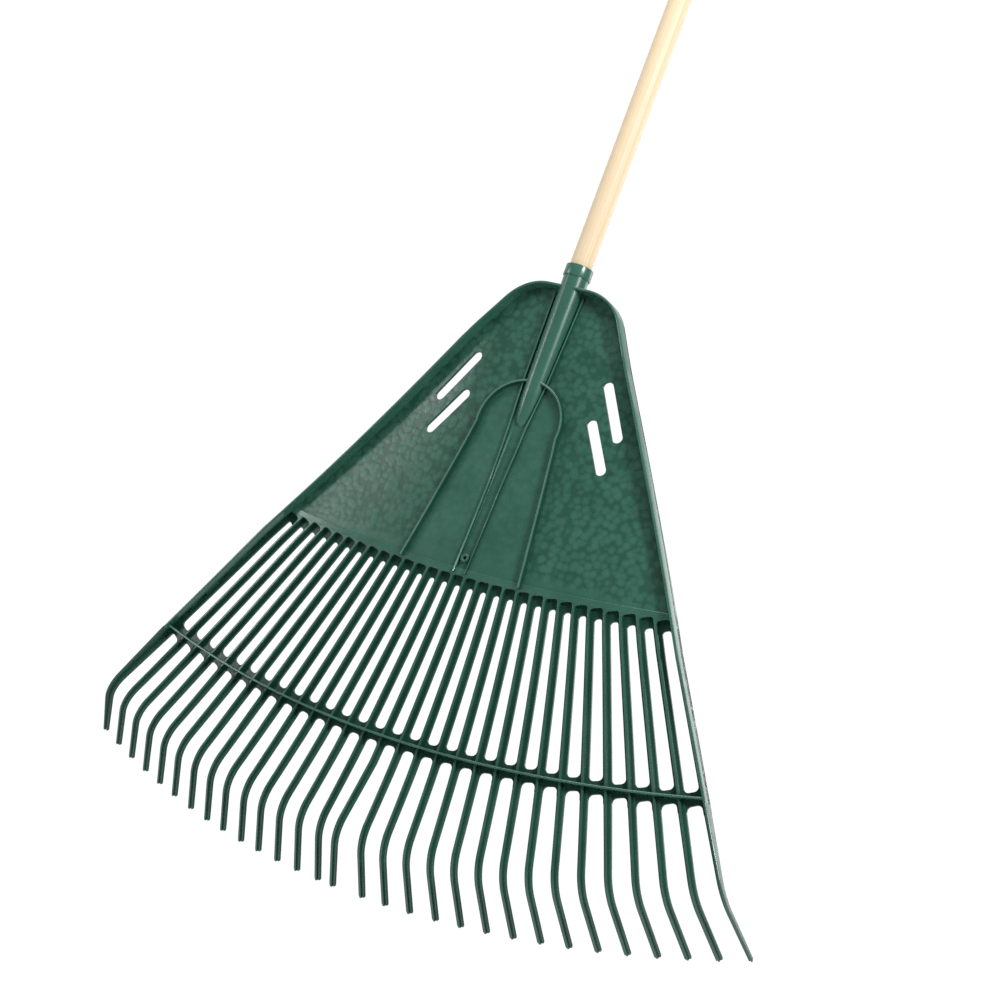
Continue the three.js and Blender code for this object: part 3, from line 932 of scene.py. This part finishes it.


# rounded cells on the panel, strongest outside the arch rib and none on the tines' ribs, with painted shade
# in the creases between them
def makePebbleGroup():
    group, given, put = newGroup("pebbledPanel", [("Cell Scale", "NodeSocketFloat", pebbles["scale"])],
                                 [("Height", "NodeSocketFloat"), ("Painted Shade", "NodeSocketFloat")])
    place = objectPlace(group)
    warp = textureNode(group, "ShaderNodeTexNoise", place, {"Scale": pebbles["warpScale"]})
    warped = addNode(group, "ShaderNodeVectorMath", operation="MULTIPLY_ADD")
    group.links.new(warp.outputs["Color"], warped.inputs[0])
    warped.inputs[1].default_value = (pebbles["warp"], pebbles["warp"], pebbles["warp"])
    group.links.new(place, warped.inputs[2])
    cells = textureNode(group, "ShaderNodeTexVoronoi", warped.outputs[0],
                        {"Randomness": pebbles["randomness"]}, feature="F1")
    group.links.new(given.outputs["Cell Scale"], cells.inputs["Scale"])

    def calculate(operation, first, second=None, third=None, clamp=False):
        return mathNode(group, operation, first, second, third, clamp)
    split = addNode(group, "ShaderNodeSeparateXYZ")
    group.links.new(place, split.inputs[0])
    x = calculate("MULTIPLY", split.outputs["X"], 1 / mm)
    level = calculate("MULTIPLY_ADD", split.outputs["Z"], -1 / mm, fanZ / mm)
    # the distance from the arch rib's own outline tells outside from inside
    centre = arch["top"] + arch["radius"]
    slope = (arch["spread"] - arch["radius"]) / (fan["border"][0] - centre)
    fromCentre = calculate("SUBTRACT", level, centre)
    below = calculate("MAXIMUM", fromCentre, 0)
    above = calculate("MINIMUM", fromCentre, 0)
    squares = calculate("ADD", calculate("MULTIPLY", x, x), calculate("MULTIPLY", above, above))
    wide = calculate("ADD", calculate("MULTIPLY", below, slope), arch["radius"])
    outside = calculate("SUBTRACT", calculate("SQRT", squares), wide, clamp=True)
    strength = calculate("MULTIPLY_ADD", outside, 1 - pebbles["insideArch"], pebbles["insideArch"])
    room = calculate("SUBTRACT", fan["border"][0] - pebbles["endAbove"], level)
    onPanel = calculate("MULTIPLY", room, pebbles["endSlope"], clamp=True)
    mask = calculate("MULTIPLY", strength, onPanel)
    edge = calculate("MULTIPLY", cells.outputs["Distance"], pebbles["dentReach"], clamp=True)
    dent = calculate("POWER", edge, pebbles["dentPower"])
    height = calculate("MULTIPLY", calculate("SUBTRACT", 1, dent), mask)
    group.links.new(height, put.inputs["Height"])
    # painted shade: the tines' ribs below the border are darkened
    ribPaintedShade = calculate("MULTIPLY", calculate("SUBTRACT", 1, onPanel), plastic["ribPaintedShade"])
    paintedShade = calculate("MAXIMUM", calculate("MULTIPLY", dent, mask), ribPaintedShade)
    group.links.new(paintedShade, put.inputs["Painted Shade"])
    return group


def makePlastic(name, pebbled, tint=(1, 1, 1, 1), gloss=1):
    material, tree, shader = newMaterial(name)
    shader.inputs["Specular IOR Level"].default_value = plastic["specular"] * gloss
    surface = addNode(tree, "ShaderNodeGroup", node_tree=groups["moulded"])
    tints = [[part * share for part, share in zip(plastic[key], tint)] for key in ("deep", "green", "worn")]
    colour = rampNode(tree, surface.outputs["Wave"], list(zip(plastic["waveStops"], tints)))
    varyRoughness(tree, shader, surface.outputs["Mottle"], plastic)
    bump = bumpNode(tree, surface.outputs["Grain"], plastic["grainBump"], plastic["grainDepth"])
    if pebbled:
        pebble = addNode(tree, "ShaderNodeGroup", node_tree=groups["pebble"])
        cells = bumpNode(tree, pebble.outputs["Height"], pebbles["bump"], pebbles["depth"])
        tree.links.new(cells.outputs["Normal"], bump.inputs["Normal"])
        # painted shade: the creases between the cells darken the colour
        paintedShade = addNode(tree, "ShaderNodeMix", data_type="RGBA", blend_type="MULTIPLY")
        tree.links.new(pebble.outputs["Painted Shade"], paintedShade.inputs["Factor"])
        tree.links.new(colour, paintedShade.inputs["A"])
        paintedShade.inputs["B"].default_value = pebbles["paintedShade"]
        colour = paintedShade.outputs["Result"]
    tree.links.new(colour, shader.inputs["Base Color"])
    tree.links.new(bump.outputs["Normal"], shader.inputs["Normal"])
    return material


wood = {
    "light": (0.70, 0.57, 0.385, 1),
    "dark": (0.62, 0.47, 0.30, 1),
    "lightAt": 0.25,
    "darkAt": 0.95,
    "roughness": 0.48,
    "roughnessSpread": 0.14,
    "alongGrain": 0.02,  # how much the grain is drawn out lengthwise
    "grainLean": (0.012, 0.008, 0),
    "rings": {"Scale": 140, "Distortion": 5, "Detail": 3, "Detail Scale": 1.4},
    "fibre": {"Scale": 1400, "Detail": 5},
    "ringShare": 0.55,
    "bump": 0.18,
    "bumpDepth": 0.0003,
}


def makeWood():
    material, tree, shader = newMaterial("turnedSoftwood")
    stretched = textureNode(tree, "ShaderNodeMapping", objectPlace(tree), {
        "Scale": (1, 1, wood["alongGrain"]), "Rotation": wood["grainLean"],
    })
    rings = textureNode(tree, "ShaderNodeTexWave", stretched.outputs[0], wood["rings"],
                        wave_type="BANDS", bands_direction="X")
    fibre = textureNode(tree, "ShaderNodeTexNoise", stretched.outputs[0], wood["fibre"])
    ringPart = mathNode(tree, "MULTIPLY", rings.outputs["Fac"], wood["ringShare"])
    fibrePart = mathNode(tree, "MULTIPLY", fibre.outputs["Fac"], 1 - wood["ringShare"])
    grain = mathNode(tree, "ADD", ringPart, fibrePart)
    colour = rampNode(tree, grain, [(wood["lightAt"], wood["light"]), (wood["darkAt"], wood["dark"])])
    tree.links.new(colour, shader.inputs["Base Color"])
    varyRoughness(tree, shader, fibre.outputs["Fac"], wood)
    bump = bumpNode(tree, grain, wood["bump"], wood["bumpDepth"])
    tree.links.new(bump.outputs["Normal"], shader.inputs["Normal"])
    return material


steel = {
    "dull": (0.50, 0.51, 0.52, 1),
    "bright": (0.68, 0.68, 0.67, 1),
    "roughness": 0.35,
    "roughnessSpread": 0.2,
    "patchScale": 900,
}


def makeSteel():
    material, tree, shader = newMaterial("zincPlate")
    shader.inputs["Metallic"].default_value = 1
    patches = textureNode(tree, "ShaderNodeTexNoise", objectPlace(tree), {"Scale": steel["patchScale"]})
    colour = rampNode(tree, patches.outputs["Fac"], [(0, steel["dull"]), (1, steel["bright"])])
    tree.links.new(colour, shader.inputs["Base Color"])
    varyRoughness(tree, shader, patches.outputs["Fac"], steel)
    return material


groups = {"moulded": makeMouldGroup(), "pebble": makePebbleGroup()}
pebbledGreen = makePlastic("pebbledGreen", True)
smoothGreen = makePlastic("smoothGreen", False)
# painted shade: a darker copy of the plastic for the free tines
tineGreen = makePlastic("tineGreen", False, plastic["tine"])
# painted shade: a darker copy of the plastic for the pockets, the flange and the sides of ribs and tines
paintedShadeGreen = makePlastic("paintedShadeGreen", False, plastic["paintedRecessShade"], plastic["recessGloss"])
# painted highlight: a paler copy of the plastic for the tops of the panel's ribs
ribHighlightGreen = makePlastic("ribHighlightGreen", False, plastic["ribTopHighlight"])
turnedSoftwood = makeWood()
zincPlate = makeSteel()
print("materials ready")

head = bmesh.new()
makeFace(head)
makeFlange(head)
makeRim(head)
makePanelRibs(head)
makeGate(head)
makeBorder(head)
makeBarRib(head)
makeSocket(head)
headPiece = finishPiece("headMoulding", head)
for material in (pebbledGreen, smoothGreen, paintedShadeGreen, ribHighlightGreen):  # in the order of headCoats
    headPiece.data.materials.append(material)
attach(headPiece, "rake")
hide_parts("head_panel", "tine_grid", "handle_socket")
print("head moulded,", len(headPiece.data.polygons), "faces")

for index in range(fan["tines"]):
    springTine = makeTine(index)
    for material in (tineGreen, paintedShadeGreen):  # in the order of tineCoats
        springTine.data.materials.append(material)
print("tines bent")

makePole().data.materials.append(turnedSoftwood)
makeScrew().data.materials.append(zincPlate)
print("pole and screw fitted")

view = {
    "place": (1.12687, -1.98211, -0.69043),  # from the fan centre
    "azimuth": 29.48,
    "lookUp": 9.56,
    "roll": 20.39,
    "lens": 84.89,
    "sensor": 36,
}
camera = bpy.data.objects.new("camera", bpy.data.cameras.new("camera"))
camera.data.lens = view["lens"]
camera.data.sensor_width = view["sensor"]
turn = Matrix.Rotation(math.radians(view["azimuth"]), 4, "Z")
tilt = Matrix.Rotation(math.radians(90 + view["lookUp"]), 4, "X")
roll = Matrix.Rotation(math.radians(view["roll"]), 4, "Z")
place = Vector(view["place"]) + Vector((0, 0, fanZ))
camera.matrix_world = Matrix.Translation(place) @ turn @ tilt @ roll
bpy.context.scene.collection.objects.link(camera)
bpy.context.scene.camera = camera

# the studio is bright behind the rake and dim on the side it is looked at from
backdrop = {"dim": 0.2, "bright": 1.05, "from": -0.15, "to": 0.55}
world = bpy.data.worlds.new("studio")
bpy.context.scene.world = world
world.use_nodes = True
sky = world.node_tree
sky.nodes["Background"].inputs["Color"].default_value = (1, 1, 1, 1)
around = addNode(sky, "ShaderNodeVectorMath", operation="DOT_PRODUCT")
sky.links.new(addNode(sky, "ShaderNodeTexCoord").outputs["Generated"], around.inputs[0])
around.inputs[1].default_value = turn.to_3x3() @ Vector((0, 1, 0))
fade = addNode(sky, "ShaderNodeMapRange", interpolation_type="SMOOTHSTEP")
sky.links.new(around.outputs["Value"], fade.inputs["Value"])
for label, key in (("From Min", "from"), ("From Max", "to"), ("To Min", "dim"), ("To Max", "bright")):
    fade.inputs[label].default_value = backdrop[key]
sky.links.new(fade.outputs["Result"], sky.nodes["Background"].inputs["Strength"])
bpy.context.scene.view_settings.view_transform = "Standard"

headMiddle = Vector((0, 0, fanZ - 0.4))  # all the lights point here
lights = [
    # name, azimuth, elevation, distance, size, power
    ("keyLight", 60, 30, 2.4, 0.5, 52),
    ("fillLight", -56, 11, 3.0, 0.7, 14),
    ("topLight", -20, 62, 2.8, 1.4, 42),
    ("backLight", 155, 25, 2.6, 1.0, 10),
]
for name, azimuth, elevation, distance, size, power in lights:
    lamp = bpy.data.objects.new(name, bpy.data.lights.new(name, "AREA"))
    lamp.data.shape = "RECTANGLE"
    lamp.data.size = size
    lamp.data.size_y = size
    lamp.data.energy = power
    away = Matrix.Rotation(math.radians(azimuth), 4, "Z") @ Matrix.Rotation(math.radians(-elevation), 4, "X")
    lamp.location = headMiddle + away @ Vector((0, -distance, 0))
    lamp.rotation_euler = (headMiddle - lamp.location).to_track_quat("-Z", "Y").to_euler()
    bpy.context.scene.collection.objects.link(lamp)

stage = {
    "floorBelow": 1.7,
    "size": 16,
    "colour": (0.92, 0.92, 0.92, 1),
    "roughness": 0.9,
    "glow": 0.35,
}


def makeFloor():
    part = bmesh.new()
    place = Matrix.Translation((0, 0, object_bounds()[0][2] - stage["floorBelow"]))
    bmesh.ops.create_grid(part, x_segments=1, y_segments=1, size=stage["size"] / 2, matrix=place)
    made = finishPiece("floor", part)
    material, _, shader = newMaterial("floor")
    shader.inputs["Base Color"].default_value = stage["colour"]
    shader.inputs["Roughness"].default_value = stage["roughness"]
    shader.inputs["Emission Color"].default_value = (1, 1, 1, 1)
    shader.inputs["Emission Strength"].default_value = stage["glow"]
    made.data.materials.append(material)


makeFloor()
print("stage set")
